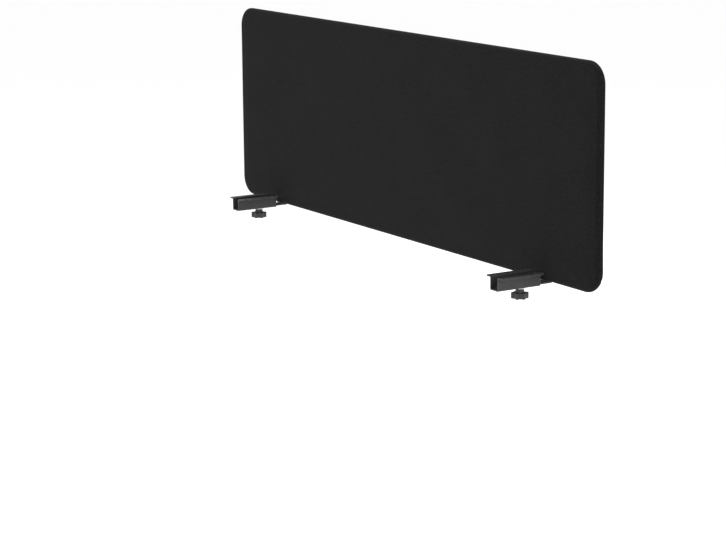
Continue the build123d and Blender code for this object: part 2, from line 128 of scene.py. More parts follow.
# a material with its nodes at hand
class Finish:
    def __init__(self, name, roughness, metallic=0.0, sheen=0.0):
        self.material = bpy.data.materials.new(name)
        self.material.use_nodes = True
        self.tree = self.material.node_tree
        self.shader = self.tree.nodes["Principled BSDF"]
        self.shader.inputs["Roughness"].default_value = roughness
        self.shader.inputs["Metallic"].default_value = metallic
        self.shader.inputs["Sheen Weight"].default_value = sheen

    def node(self, kind, values=(), **settings):
        made = self.tree.nodes.new(kind)
        for key, value in settings.items():
            setattr(made, key, value)
        for key, value in dict(values).items():
            if isinstance(value, bpy.types.NodeSocket):
                self.tree.links.new(value, made.inputs[key])
            else:
                made.inputs[key].default_value = value
        return made

    def coords(self, kind="Object", scale=(1, 1, 1), turn=(0, 0, 0)):
        source = self.node("ShaderNodeTexCoord").outputs[kind]
        values = {"Vector": source, "Scale": scale, "Rotation": turn}
        return self.node("ShaderNodeMapping", values).outputs["Vector"]

    def math(self, operation, a, b=None):
        values = {0: a} if b is None else {0: a, 1: b}
        return self.node("ShaderNodeMath", values, operation=operation).outputs[0]

    def plus(self, a, b):
        return self.math("ADD", a, b)

    def times(self, a, b):
        return self.math("MULTIPLY", a, b)

    def noise(self, vector, scale, detail=4.0, rough=0.5):
        values = {"Vector": vector, "Scale": scale, "Detail": detail, "Roughness": rough}
        return self.node("ShaderNodeTexNoise", values).outputs["Fac"]

    def ramp(self, value, stops):
        made = self.node("ShaderNodeValToRGB", {"Fac": value})
        made.color_ramp.elements[0].position = stops[0][0]
        made.color_ramp.elements[0].color = (*stops[0][1], 1)
        made.color_ramp.elements[1].position = stops[-1][0]
        made.color_ramp.elements[1].color = (*stops[-1][1], 1)
        for place, colour in stops[1:-1]:
            made.color_ramp.elements.new(place).color = (*colour, 1)
        return made.outputs["Color"]

    def mixColour(self, share, a, b, blend="MIX"):
        made = self.node("ShaderNodeMix", data_type="RGBA", blend_type=blend)
        for key, value in ((0, share), (6, a), (7, b)):
            if isinstance(value, bpy.types.NodeSocket):
                self.tree.links.new(value, made.inputs[key])
            else:
                made.inputs[key].default_value = value
        return made.outputs[2]

    def spread(self, value, low, high):
        return self.node("ShaderNodeMapRange", {0: value, 3: low, 4: high}).outputs[0]

    def colour(self, socket):
        self.tree.links.new(socket, self.shader.inputs["Base Color"])

    def roughness(self, socket):
        self.tree.links.new(socket, self.shader.inputs["Roughness"])

    def bump(self, height, strength, distance):
        values = {"Height": height, "Strength": strength, "Distance": distance}
        made = self.node("ShaderNodeBump", values)
        self.tree.links.new(made.outputs["Normal"], self.shader.inputs["Normal"])


clothLook = {
    "dark": (0.0032, 0.0032, 0.0034),
    "light": (0.0122, 0.0122, 0.0126),
    "threadPitch": 1.25 * mm,
    "drift": 0.5 * mm,  # how far the threads wander
    "bump": 0.6,
    "fuzzScale": 2600.0,
    "slubScales": (900, 18),  # across a thread and along it
    "cloudScale": 6.0,
    "melangeScale": 170.0,
}


def makeCloth(name, look):
    finish = Finish(name, 0.95, sheen=0.03)
    finish.shader.inputs["Sheen Roughness"].default_value = 0.45
    finish.shader.inputs["Specular IOR Level"].default_value = 0.08
    uv = finish.coords("UV")
    wobble = finish.node(
        "ShaderNodeTexNoise", {"Vector": uv, "Scale": 70.0, "Detail": 2.0}
    ).outputs["Color"]
    shift = finish.node(
        "ShaderNodeVectorMath", {0: wobble, 1: (0.5, 0.5, 0.5)}, operation="SUBTRACT"
    ).outputs[0]
    shift = finish.node(
        "ShaderNodeVectorMath", {0: shift, "Scale": look["drift"]}, operation="SCALE"
    ).outputs[0]
    uv = finish.node("ShaderNodeVectorMath", {0: uv, 1: shift}, operation="ADD").outputs[0]
    parts = finish.node("ShaderNodeSeparateXYZ", {"Vector": uv})
    waves = []
    for axis in ("X", "Y"):
        angle = finish.times(parts.outputs[axis], math.pi / look["threadPitch"])
        waves.append(finish.math("SINE", angle))
    across, along = (finish.math("ABSOLUTE", wave) for wave in waves)
    overUnder = finish.math("GREATER_THAN", finish.times(*waves), 0.0)
    crown, level = 0.9, 0.3  # a thread is round across and nearly flat along
    warp = finish.times(finish.math("POWER", across, crown), finish.math("POWER", along, level))
    weft = finish.times(finish.math("POWER", across, level), finish.math("POWER", along, crown))
    weave = finish.node("ShaderNodeMix", {0: overUnder, 2: warp, 3: weft}).outputs[0]
    fuzz = finish.noise(uv, look["fuzzScale"], 3.0, 0.7)
    height = finish.plus(weave, finish.times(fuzz, 0.5))
    finish.bump(height, look["bump"], 0.35 * mm)
    # yarns differ a little in tone, lengthways and crossways
    fine, long = look["slubScales"]
    slub = finish.noise(finish.coords("UV", (fine, long, 1)), 1.0, 2.0)
    slubAcross = finish.noise(finish.coords("UV", (long, fine, 1)), 1.0, 2.0)
    cloud = finish.noise(uv, look["cloudScale"], 3.0)
    melange = finish.noise(uv, look["melangeScale"], 3.0, 0.7)
    tone = finish.plus(finish.times(slub, 0.35), finish.times(slubAcross, 0.35))
    tone = finish.plus(tone, finish.times(cloud, 0.2))
    tone = finish.plus(tone, finish.times(finish.math("SUBTRACT", melange, 0.4), 0.9))
    # the weave's height also tints the cloth: painted shade in the gaps between threads and painted
    # light on their crowns
    tone = finish.plus(tone, finish.times(finish.math("SUBTRACT", weave, 0.6), 0.35))
    finish.colour(finish.ramp(tone, ((0.28, look["dark"]), (0.72, look["light"]))))
    return finish.material


ribbonLook = {"ribs": 4500.0, "twill": 5200.0, "slant": 1.3, "bump": 0.35}


def makeRibbon(name, dark, light):
    finish = Finish(name, 0.85, sheen=0.1)
    parts = finish.node("ShaderNodeSeparateXYZ", {"Vector": finish.coords("Object")})
    ribWave = finish.math("SINE", finish.times(parts.outputs["X"], ribbonLook["ribs"]))
    ribs = finish.math("ABSOLUTE", ribWave)
    slant = finish.plus(parts.outputs["X"], finish.times(parts.outputs["Z"], ribbonLook["slant"]))
    twill = finish.math("ABSOLUTE", finish.math("SINE", finish.times(slant, ribbonLook["twill"])))
    height = finish.plus(ribs, twill)
    finish.bump(height, ribbonLook["bump"], 0.15 * mm)
    # the colour follows the height: painted shade in the grooves and painted light on the ribs' crowns
    finish.colour(finish.ramp(finish.times(height, 0.5), ((0.1, dark), (0.9, light))))
    return finish.material


def makeFelt(name, dark, light, fibre):
    finish = Finish(name, 0.95, sheen=0.25)
    vector = finish.coords("Object")
    combed = finish.coords("Object", (1, 1, 0.25), (0.5, 0.3, 0.7))
    stretched = finish.noise(combed, fibre, 6.0, 0.75)
    clumps = finish.noise(vector, fibre * 0.12, 3.0)
    tone = finish.plus(finish.times(stretched, 0.6), finish.times(clumps, 0.4))
    finish.colour(finish.ramp(tone, ((0.35, dark), (0.65, light))))
    finish.bump(stretched, 0.6, 0.4 * mm)
    return finish.material


def makeTimber(name, dark, light, along, ringScale):
    finish = Finish(name, 0.62)
    scale = {"X": (0.06, 1, 1), "Y": (1, 0.06, 1), "Z": (1, 1, 0.06)}[along]
    vector = finish.coords("Object", scale)
    bend = finish.noise(vector, ringScale * 0.35, 3.0)
    rings = finish.node(
        "ShaderNodeTexWave",
        {
            "Vector": vector,
            "Scale": ringScale,
            "Distortion": 6.0,
            "Detail": 3.0,
            "Detail Scale": 1.6,
        },
        bands_direction="DIAGONAL",
    ).outputs["Fac"]
    pores = finish.noise(finish.coords("Object", scale), ringScale * 14, 5.0, 0.7)
    tone = finish.plus(finish.times(rings, 0.5), finish.times(bend, 0.3))
    tone = finish.plus(tone, finish.times(pores, 0.25))
    finish.colour(finish.ramp(tone, ((0.25, light), (0.6, light), (0.85, dark))))
    finish.roughness(finish.spread(pores, 0.5, 0.75))
    finish.bump(pores, 0.2, 0.2 * mm)
    return finish.material


def makeMoulded(name, colour, roughness, grain):
    finish = Finish(name, roughness)
    vector = finish.coords("Object")
    speckle = finish.noise(vector, grain, 3.0, 0.6)
    cloud = finish.noise(vector, 60.0, 2.0)
    finish.bump(speckle, 0.25, 0.06 * mm)
    matt = finish.times(speckle, cloud)
    finish.roughness(finish.spread(matt, roughness - 0.12, roughness + 0.2))
    lighter = tuple(c * 1.5 + 0.004 for c in colour)
    finish.colour(finish.ramp(cloud, ((0.3, colour), (0.75, lighter))))
    return finish.material


# 1 in patches on sharp edges and 0 on flat faces: real worn paint, and also a painted highlight along
# edges the mesh has no rounding to catch
def wornAndGlintEdges(finish, radius):
    soft = finish.node("ShaderNodeBevel", {"Radius": radius}, samples=4).outputs["Normal"]
    hard = finish.node("ShaderNodeNewGeometry").outputs["Normal"]
    dot = finish.node("ShaderNodeVectorMath", {0: soft, 1: hard}, operation="DOT_PRODUCT")
    same = dot.outputs["Value"]
    edge = finish.math("SUBTRACT", 1.0, same)
    patchy = finish.noise(finish.coords("Object"), 350.0, 4.0, 0.7)
    wornAndGlint = finish.times(finish.times(edge, 6.0), patchy)
    return finish.math("GREATER_THAN", wornAndGlint, 0.55)


def makePowderCoat(name, colour, bareAndGlint):
    finish = Finish(name, 0.5)
    vector = finish.coords("Object")
    peel = finish.noise(vector, 1300.0, 2.0, 0.5)
    cloud = finish.noise(vector, 40.0, 3.0)
    # the sharp edges are painted bare grey steel: partly real worn paint, partly a painted highlight
    # in place of rounded edges
    wornAndGlint = wornAndGlintEdges(finish, 0.5 * mm)
    lighter = tuple(c * 1.35 for c in colour)
    paint = finish.ramp(cloud, ((0.3, colour), (0.7, lighter)))
    finish.colour(finish.mixColour(wornAndGlint, paint, (*bareAndGlint, 1)))
    finish.tree.links.new(finish.times(wornAndGlint, 0.85), finish.shader.inputs["Metallic"])
    finish.roughness(finish.spread(peel, 0.42, 0.62))
    finish.bump(peel, 0.3, 0.08 * mm)
    return finish.material


def makeBareMetal(name, colour, roughness, along, stroke=900.0):
    finish = Finish(name, roughness, metallic=1.0)
    scale = {"X": (0.03, 1, 1), "Y": (1, 0.03, 1), "Z": (1, 1, 0.03)}[along]
    strokes = finish.noise(finish.coords("Object", scale), stroke, 4.0, 0.7)
    cloud = finish.noise(finish.coords("Object"), 90.0, 3.0)
    darker = tuple(c * 0.78 for c in colour)
    finish.colour(finish.ramp(cloud, ((0.3, darker), (0.7, colour))))
    finish.roughness(finish.spread(strokes, roughness - 0.1, roughness + 0.18))
    finish.bump(strokes, 0.12, 0.05 * mm)
    return finish.material


cloth = makeCloth("charcoalCloth", clothLook)
# each ribbon's two tones are painted shade in its grooves and painted light on its ribs
tapeRibbon = makeRibbon("zipRibbon", (0.010, 0.010, 0.011), (0.026, 0.026, 0.027))
thread = makeRibbon("blackThread", (0.012, 0.012, 0.012), (0.035, 0.035, 0.036))
felt = makeFelt("greyFelt", (0.30, 0.30, 0.29), (0.52, 0.52, 0.51), 900.0)
board = makeFelt("acousticBoard", (0.20, 0.19, 0.165), (0.40, 0.385, 0.35), 500.0)
pineLong = makeTimber("pineAlongX", (0.40, 0.23, 0.10), (0.68, 0.48, 0.28), "X", 22.0)
pineUp = makeTimber("pineAlongZ", (0.40, 0.23, 0.10), (0.68, 0.48, 0.28), "Z", 22.0)
plywood = makeTimber("birchPlywood", (0.48, 0.33, 0.18), (0.74, 0.58, 0.38), "X", 60.0)
beech = makeTimber("beechDowel", (0.50, 0.30, 0.16), (0.72, 0.50, 0.31), "X", 80.0)
coilNylon = makeMoulded("coilNylon", (0.013, 0.013, 0.014), 0.38, 2500.0)
socketNylon = makeMoulded("socketNylon", (0.017, 0.017, 0.018), 0.5, 1600.0)
knobNylon = makeMoulded("knobNylon", (0.015, 0.015, 0.016), 0.45, 1400.0)
# the last colour is the bare steel painted on the sharp edges: worn paint, and partly a painted
# highlight
blackSteel = makePowderCoat("blackPowderCoat", (0.02, 0.02, 0.021), (0.42, 0.42, 0.43))
gunmetal = makeBareMetal("zipGunmetal", (0.10, 0.10, 0.105), 0.34, "X")
bladeSteel = makeBareMetal("bladeSteel", (0.50, 0.50, 0.51), 0.36, "Z")
zinc = makeBareMetal("zincPlate", (0.62, 0.64, 0.66), 0.32, "Z", 300.0)
brass = makeBareMetal("turnedBrass", (0.72, 0.50, 0.20), 0.30, "X", 600.0)
print("materials made")

# small helpers for pieces


# a box between two corners, added to a bmesh
def boxOf(bm, low, high):
    low, high = Vector(low), Vector(high)
    verts = bmesh.ops.create_cube(bm, size=1)["verts"]
    bmesh.ops.scale(bm, verts=verts, vec=high - low)
    bmesh.ops.translate(bm, verts=verts, vec=(low + high) / 2)
    return verts


def bevelEdges(bm, edges, offset, segments):
    return bmesh.ops.bevel(
        bm, geom=edges, offset=offset, offset_type="OFFSET", segments=segments,
        profile=0.5, affect="EDGES", material=-1, clamp_overlap=True,
    )


def sharpEdges(bm, degrees):
    limit = math.radians(degrees)
    return [e for e in bm.edges if len(e.link_faces) == 2 and e.calc_face_angle(0) > limit]


def finishPiece(name, bm, material, body, replaced=(), recalc=True, sharp=50):
    if recalc:
        bmesh.ops.recalc_face_normals(bm, faces=bm.faces)
    mesh = bpy.data.meshes.new(name)
    bm.to_mesh(mesh)
    bm.free()
    mesh.materials.append(material)
    mesh.shade_smooth()
    mesh.set_sharp_from_angle(angle=math.radians(sharp))
    piece = bpy.data.objects.new(name, mesh)
    bpy.context.scene.collection.objects.link(piece)
    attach(piece, body)
    if replaced:
        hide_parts(*replaced)
    return piece


def repeatPiece(piece, step, count):
    array = piece.modifiers.new("repeat", "ARRAY")
    array.use_relative_offset = False
    array.use_constant_offset = True
    array.constant_offset_displace = step
    array.count = count


def cutAcross(bm, point, normal):
    bmesh.ops.bisect_plane(
        bm, geom=bm.verts[:] + bm.edges[:] + bm.faces[:], plane_co=point, plane_no=normal, dist=1e-6
    )


# the soft cover and the felt under it

screenLook = {
    "corner": 50 * mm,
    "edge": 12 * mm,
    "cloth": 1.0 * mm,
    "cutStep": 12 * mm,
    "feltInset": 2.2 * mm,
    "seamDepth": 0.7 * mm,
    "seamHalf": 2.0 * mm,
    "swellCap": 1.0 * mm,
    "ripple": 0.12 * mm,
    "cornerCuts": 14,
    "edgeCuts": 7,
    "zipFade": 60 * mm,  # the cloth is flat on the zip and full this far from its hems
}

# the cloth simulation that fills the cover
swellLook = {
    "quality": 4,
    "mass": 0.3,
    "tension": 25,
    "compression": 15,
    "bending": 0.6,
    "damping": 4,
    "pressure": 3.0,
    "frames": 16,
}
seamCuts = (-1, -0.45, 0, 0.45, 1)  # in half widths of the seam
hemCuts = (-2.2, -1.4, -1, 0, 1, 1.4, 2.2)  # in half heights of the zip's gap

screenLow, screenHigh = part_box("front_cover")
screenMiddle = (screenLow + screenHigh) / 2
screenHalf = (screenHigh - screenLow) / 2
zipLow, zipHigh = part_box("lower_zip_coil")[0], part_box("upper_zip_coil")[1]
zipMiddle = (zipLow + zipHigh) / 2
zipGap = {"halfLength": zipHigh.x + 5 * mm, "halfHeight": 5 * mm}


# how far a place is outside the screen's flat face, and which way
def flatPart(x, z):
    reach = screenLook["edge"]
    corner = screenLook["corner"]
    dx, dz = x - screenMiddle.x, z - screenMiddle.z
    coreX, coreZ = screenHalf.x - corner, screenHalf.z - corner
    nearX, nearZ = max(-coreX, min(coreX, dx)), max(-coreZ, min(coreZ, dz))
    way = Vector((dx - nearX, 0, dz - nearZ))
    far = way.length
    if far > 1e-9:
        way /= far
    return max(0.0, far - (corner - reach)), way


# where a point of the stretched cloth lies on the flat cloth, in metres
def clothMap(x, y, z):
    out, way = flatPart(x, z)
    reach = screenLook["edge"]
    arc = reach * math.asin(min(1.0, out / reach))
    sideways = 0.0
    if out > reach * 0.98:  # on the narrow flat between the two rounded edges
        sideways = max(0.0, screenHalf.y - reach - abs(y - screenMiddle.y))
    extra = arc - out + sideways
    return x + way.x * extra, z + way.z * extra


# the screen's outer shape, smaller all round by inset
def roundedSlab(inset, cornerCuts, edgeCuts):
    bm = bmesh.new()
    shrink = Vector((inset, inset, inset))
    boxOf(bm, screenLow + shrink, screenHigh - shrink)
    across = [e for e in bm.edges if abs(e.verts[0].co.y - e.verts[1].co.y) > 1 * mm]
    bevelEdges(bm, across, screenLook["corner"] - inset, cornerCuts)
    ends = (screenLow.y + inset, screenHigh.y - inset)
    rims = [e for e in bm.edges if any(all(abs(v.co.y - y) < 1e-6 for v in e.verts) for y in ends)]
    bevelEdges(bm, rims, screenLook["edge"] - inset, edgeCuts)
    return bm


# the openings under the blade sockets' flanges
def socketOpening(side):
    lip = Vector((2 * mm, 1.5 * mm, 0))
    low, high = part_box(side + "_blade_socket")
    return low + lip, Vector((high.x - lip.x, high.y - lip.y, low.z + 14 * mm))


socketOpenings = [socketOpening(side) for side in ("left", "right")]


def inside(place, low, high):
    return all(low[axis] < place[axis] < high[axis] for axis in range(3))


def coverSlab():
    bm = roundedSlab(0, screenLook["cornerCuts"], screenLook["edgeCuts"])
    for axis in (0, 2):
        steps = int(2 * screenHalf[axis] / screenLook["cutStep"])
        for step in range(1, steps):
            point = screenLow.copy()
            point[axis] += 2 * screenHalf[axis] * step / steps
            normal = Vector((0, 0, 0))
            normal[axis] = 1
            cutAcross(bm, point, normal)
    for step in seamCuts:
        cutAcross(bm, screenMiddle + Vector((0, step * screenLook["seamHalf"], 0)), (0, 1, 0))
    for step in hemCuts:
        cutAcross(bm, zipMiddle + Vector((0, 0, step * zipGap["halfHeight"])), (0, 0, 1))
    for way in (-1, 1):
        cutAcross(bm, Vector((way * zipGap["halfLength"], 0, 0)), (1, 0, 0))
    for low, high in socketOpenings:
        for corner in (low, high):
            cutAcross(bm, corner, (1, 0, 0))
            cutAcross(bm, corner, (0, 1, 0))
    bmesh.ops.remove_doubles(bm, verts=bm.verts, dist=1e-6)
    return bm


# 0 on the zip and its hems, rising to 1 a little way from it
def nearZip(place):
    if place.y < screenMiddle.y:
        return 1.0
    away = abs(place.z - zipMiddle.z) - hemCuts[-1] * zipGap["halfHeight"]
    return max(0.0, min(1.0, away / screenLook["zipFade"]))


# fills the cloth with a short cloth simulation, and gives each point's new place
def swellCloth(bm):
    rest = [v.co.copy() for v in bm.verts]
    mesh = bpy.data.meshes.new("clothTrial")
    bm.to_mesh(mesh)
    trial = bpy.data.objects.new("clothTrial", mesh)
    scene = bpy.context.scene
    scene.collection.objects.link(trial)
    pins = trial.vertex_groups.new(name="seams")
    held = []
    for index, place in enumerate(rest):
        onSeam = abs(place.y - screenMiddle.y) < screenLook["seamHalf"] * 1.1
        onZip = place.y > screenMiddle.y and nearZip(place) <= 0
        if onSeam or onZip:
            held.append(index)
    pins.add(held, 1.0, "REPLACE")
    swell = trial.modifiers.new("swell", "CLOTH")
    swell.settings.quality = swellLook["quality"]
    swell.settings.mass = swellLook["mass"]
    swell.settings.tension_stiffness = swellLook["tension"]
    swell.settings.compression_stiffness = swellLook["compression"]
    swell.settings.bending_stiffness = swellLook["bending"]
    swell.settings.air_damping = swellLook["damping"]
    swell.settings.vertex_group_mass = "seams"
    swell.settings.use_pressure = True
    swell.settings.uniform_pressure_force = swellLook["pressure"]
    swell.settings.effector_weights.gravity = 0
    swell.collision_settings.use_collision = False
    for step in range(1, swellLook["frames"] + 1):
        scene.frame_set(step)
    shown = trial.evaluated_get(bpy.context.evaluated_depsgraph_get())
    moved = [v.co.copy() for v in shown.data.vertices]
    scene.frame_set(1)
    bpy.data.objects.remove(trial)
    return moved


# the two cover pieces, front and rear, meet in a seam round the middle of the edge
def dressCover():
    bm = coverSlab()
    rest = [v.co.copy() for v in bm.verts]
    moved = swellCloth(bm)
    cap = screenLook["swellCap"]
    uvs = {}
    pushes = []
    for vert, before, after in zip(bm.verts, rest, moved):
        uvs[vert.index] = clothMap(*before)
        push = after - before
        if push.length > cap:
            push *= cap / push.length
        out, way = flatPart(before.x, before.z)
        facing = 1 if before.y > screenMiddle.y else -1
        edge = min(1.0, out / screenLook["edge"])
        normal = Vector((0, facing * math.sqrt(max(0.0, 1 - edge * edge)), 0)) + way * edge
        far = abs(before.y - screenMiddle.y)
        if before.z < zipMiddle.z + screenLook["seamHalf"] and before.y > screenMiddle.y:
            far = abs(before.z - zipMiddle.z)
            if abs(before.x) < zipGap["halfLength"]:
                far = 0 if far < zipGap["halfHeight"] * 1.01 else far
        seam = max(0.0, 1 - far / screenLook["seamHalf"]) ** 1.5 * screenLook["seamDepth"]
        soft = noise.noise(before * 9) * 0.7 + noise.noise(before * 31) * 0.3
        slack = screenLook["ripple"] * (soft - 0.6) * nearZip(before)
        face = (1 - edge) * nearZip(before)  # the rounded edge stays on the felt
        pushes.append(push.length)
        vert.co = before + (push - normal * cap) * face + normal * (slack - seam)
    mean = sum(pushes) / len(pushes)
    print("cloth swelled by", round(mean / mm, 2), "mm, at most", round(max(pushes) / mm, 2))
    for name, keepRear in (("frontCoverCloth", False), ("rearCoverCloth", True)):
        part = bm.copy()
        layer = part.loops.layers.uv.new("clothMap")
        for face in part.faces:
            for loop in face.loops:
                loop[layer].uv = uvs[loop.vert.index]
        unwanted = []
        for face in part.faces:
            middle = face.calc_center_median()
            rear = middle.y > screenMiddle.y and middle.z > zipMiddle.z
            inGap = (
                middle.y > screenMiddle.y
                and abs(middle.z - zipMiddle.z) < zipGap["halfHeight"]
                and abs(middle.x) < zipGap["halfLength"]
            )
            overSocket = any(inside(middle, low, high) for low, high in socketOpenings)
            if inGap or overSocket or rear != keepRear:
                unwanted.append(face)
        bmesh.ops.delete(part, geom=unwanted, context="FACES")
        area = sum(f.calc_area() for f in part.faces)
        node = "rear_cover" if keepRear else "front_cover"
        piece = finishPiece(
            name, part, cloth, "panel", (node,), recalc=False, sharp=80
        )
        thick = piece.modifiers.new("clothThickness", "SOLIDIFY")
        thick.thickness = screenLook["cloth"]
        thick.offset = -1
    bm.free()


# a notch through the tray's bottom wall, where a blade socket stands
def notchTray(bm, low, high, way):
    near = low.y if way < 0 else high.y
    cutAcross(bm, low, (1, 0, 0))
    cutAcross(bm, high, (1, 0, 0))
    cutAcross(bm, (0, near, 0), (0, 1, 0))
    gone = [f for f in bm.faces if inside(f.calc_center_median(), low, high)]
    bmesh.ops.delete(bm, geom=gone, context="FACES")
    for x in (low.x, high.x):
        corners = [
            v for v in bm.verts
            if v.is_boundary and abs(v.co.x - x) < 1e-5 and abs(v.co.y - near) < 1e-5
        ]
        bm.edges.new(corners)
    openEdges = [e for e in bm.edges if len(e.link_faces) < 2]
    bmesh.ops.edgenet_fill(bm, edges=openEdges)


# each felt pad is a tray: soft outside, with a pocket inside that fits the timber frame
def layFelt():
    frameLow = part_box("bottom_left_corner_block")[0]
    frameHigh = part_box("top_right_corner_block")[1]
    wall = frameLow.x - screenLow.x - screenLook["feltInset"]
    for name, node, way in (("frontFelt", "front_pad", -1), ("rearFelt", "rear_pad", 1)):
        bm = roundedSlab(screenLook["feltInset"], screenLook["cornerCuts"], 6)
        bmesh.ops.bisect_plane(
            bm, geom=bm.verts[:] + bm.edges[:] + bm.faces[:], plane_co=screenMiddle,
            plane_no=(0, -way, 0), clear_outer=True, dist=1e-6,
        )
        rim = [e for e in bm.edges if e.is_boundary]
        lid = bmesh.ops.edgeloop_fill(bm, edges=rim)["faces"]
        bmesh.ops.inset_region(bm, faces=lid, thickness=wall, use_even_offset=True)
        sunk = bmesh.ops.extrude_face_region(bm, geom=lid)["geom"]
        bmesh.ops.delete(bm, geom=[f for f in lid if f.is_valid], context="FACES")
        floorY = frameLow.y if way < 0 else frameHigh.y
        verts = [g for g in sunk if isinstance(g, bmesh.types.BMVert)]
        bmesh.ops.translate(bm, verts=verts, vec=(0, floorY - screenMiddle.y, 0))
        for low, high in socketOpenings:
            notchTray(bm, low, high, way)
        piece = finishPiece(name, bm, felt, "panel", (node,))


dressCover()
print("cover dressed")
layFelt()
print("felt laid")

# the zip

zipLook = {
    "pitch": 1.45 * mm,
    "ribHalf": 0.355 * mm,
    "stitchStep": 3.4 * mm,
    "stitchLength": 2.5 * mm,
    "stitchRadius": 0.26 * mm,
    "hem": 2.0 * mm,
    "headWidth": 1.12,  # the hooked heads that mesh are a little wider
    "lean": 0.09,
    "reach": 0.2 * mm,  # each rib goes this far between the ribs of the other side
    "tapeCuts": 60,
}


def sewZip():
    for side, way in (("upper", 1), ("lower", -1)):
        node = side + "_zip_coil"
        low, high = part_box(node)
        length = high.x - low.x
        count = int(length / zipLook["pitch"]) - 1
        shift = 0 if way > 0 else zipLook["pitch"] / 2
        bm = bmesh.new()
        verts = bmesh.ops.create_uvsphere(bm, u_segments=6, v_segments=5, radius=1)["verts"]
        tall = (high.z - low.z) / 2 + zipLook["reach"]
        bmesh.ops.scale(bm, verts=verts, vec=(zipLook["ribHalf"], (high.y - low.y) / 2, tall))
        for vert in bm.verts:
            if vert.co.z * way < 0:
                vert.co.x *= zipLook["headWidth"]
        lean = Matrix.Rotation(zipLook["lean"] * way, 3, "Y")
        bmesh.ops.rotate(bm, verts=bm.verts, cent=(0, 0, 0), matrix=lean)
        place = (
            low.x + zipLook["pitch"] / 2 + shift,
            (low.y + high.y) / 2,
            (low.z + high.z) / 2 - way * zipLook["reach"],
        )
        bmesh.ops.translate(bm, verts=bm.verts, vec=place)
        coil = finishPiece(side + "ZipCoil", bm, coilNylon, "panel", (node,))
        repeatPiece(coil, (zipLook["pitch"], 0, 0), count)

        node = side + "_zip_tape"
        low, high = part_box(node)
        bm = bmesh.new()
        boxOf(bm, low, high)
        for step in range(1, zipLook["tapeCuts"]):
            cut = low.x + (high.x - low.x) * step / zipLook["tapeCuts"]
            cutAcross(bm, (cut, 0, 0), (1, 0, 0))
        bevelEdges(bm, sharpEdges(bm, 60), 0.2 * mm, 2)
        tape = finishPiece(side + "ZipTape", bm, tapeRibbon, "panel", (node,))

        bm = bmesh.new()
        verts = bmesh.ops.create_uvsphere(bm, u_segments=6, v_segments=5, radius=1)["verts"]
        radius = zipLook["stitchRadius"]
        bmesh.ops.scale(bm, verts=verts, vec=(zipLook["stitchLength"] / 2, radius, radius))
        row = zipMiddle.z + way * (zipGap["halfHeight"] + zipLook["hem"])
        begin = -zipGap["halfLength"] + zipLook["stitchStep"]
        bmesh.ops.translate(bm, verts=bm.verts, vec=(begin, screenHigh.y + 0.05 * mm, row))
        seam = finishPiece(side + "HemStitches", bm, thread, "panel")
        stitches = int(2 * zipGap["halfLength"] / zipLook["stitchStep"]) - 1
        repeatPiece(seam, (zipLook["stitchStep"], 0, 0), stitches)


stopLook = {"length": 3.2 * mm, "slit": 0.4 * mm, "rounding": 0.55 * mm}
sliderLook = {
    "plateGap": 0.3 * mm,
    "plate": 1.2 * mm,
    "corner": 2.2 * mm,
    "tailTaper": 0.28,
    "lipInner": 3.2 * mm,
    "lipOuter": 4.15 * mm,
    "plateBevel": 0.35 * mm,
    "bridgeSpan": 3.1 * mm,  # from the middle of the slider to the middle of each leg
    "bridgeHalfThick": 0.4 * mm,
    "bridgeHalfWidth": 1.1 * mm,
    "bridgeSteps": 12,
}


def shapeSlider():
    low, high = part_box("zip_slider")
    middle = (low + high) / 2
    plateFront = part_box("upper_zip_coil")[1].y + sliderLook["plateGap"]
    plateBack = plateFront + sliderLook["plate"]
    bm = bmesh.new()
    boxOf(bm, (low.x, plateFront, low.z), (high.x, plateBack, high.z))
    outline = [e for e in bm.edges if abs(e.verts[0].co.y - e.verts[1].co.y) > 0.5 * mm]
    bevelEdges(bm, outline, sliderLook["corner"], 5)
    for vert in bm.verts:  # the tail is narrower than the shoulders
        share = (middle.x + 1 * mm - vert.co.x) / (high.x - low.x) * 2
        if share > 0:
            vert.co.z = middle.z + (vert.co.z - middle.z) * (1 - sliderLook["tailTaper"] * share)
    for way in (-1, 1):
        lip = sorted(middle.z + way * sliderLook[rim] for rim in ("lipInner", "lipOuter"))
        start = (middle.x - 3.6 * mm, low.y, lip[0])
        end = (middle.x + 4 * mm, plateFront + 0.2 * mm, lip[1])
        boxOf(bm, start, end)
    bevelEdges(bm, sharpEdges(bm, 40), sliderLook["plateBevel"], 2)
    # the bridge is a strap bent over the pull's bar
    strap = bmesh.new()
    halfSpan = sliderLook["bridgeSpan"]
    thick = sliderLook["bridgeHalfThick"]
    half = sliderLook["bridgeHalfWidth"]
    boxOf(
        strap,
        (middle.x + halfSpan - thick, plateBack, middle.z - half),
        (middle.x + halfSpan + thick, plateBack + 0.001 * mm, middle.z + half),
    )
    flat = [f for f in strap.faces if f.normal.y > 0.9]
    bmesh.ops.delete(strap, geom=[f for f in strap.faces if f not in flat], context="FACES")
    bmesh.ops.spin(
        strap, geom=strap.verts[:] + strap.edges[:] + strap.faces[:],
        cent=(middle.x, plateBack, middle.z), axis=(0, 0, 1), angle=math.pi,
        steps=sliderLook["bridgeSteps"], use_merge=False,
    )
    rise = (high.y - plateBack) / (halfSpan + thick)
    for vert in strap.verts:
        vert.co.y = plateBack - 0.15 * mm + (vert.co.y - plateBack) * rise
    bmesh.ops.remove_doubles(strap, verts=strap.verts, dist=1e-7)
    mesh = bpy.data.meshes.new("strapTrial")
    strap.to_mesh(mesh)
    strap.free()
    bm.from_mesh(mesh)
    bpy.data.meshes.remove(mesh)
    finishPiece("zipSliderBody", bm, gunmetal, "zip_slider", ("zip_slider",), sharp=35)


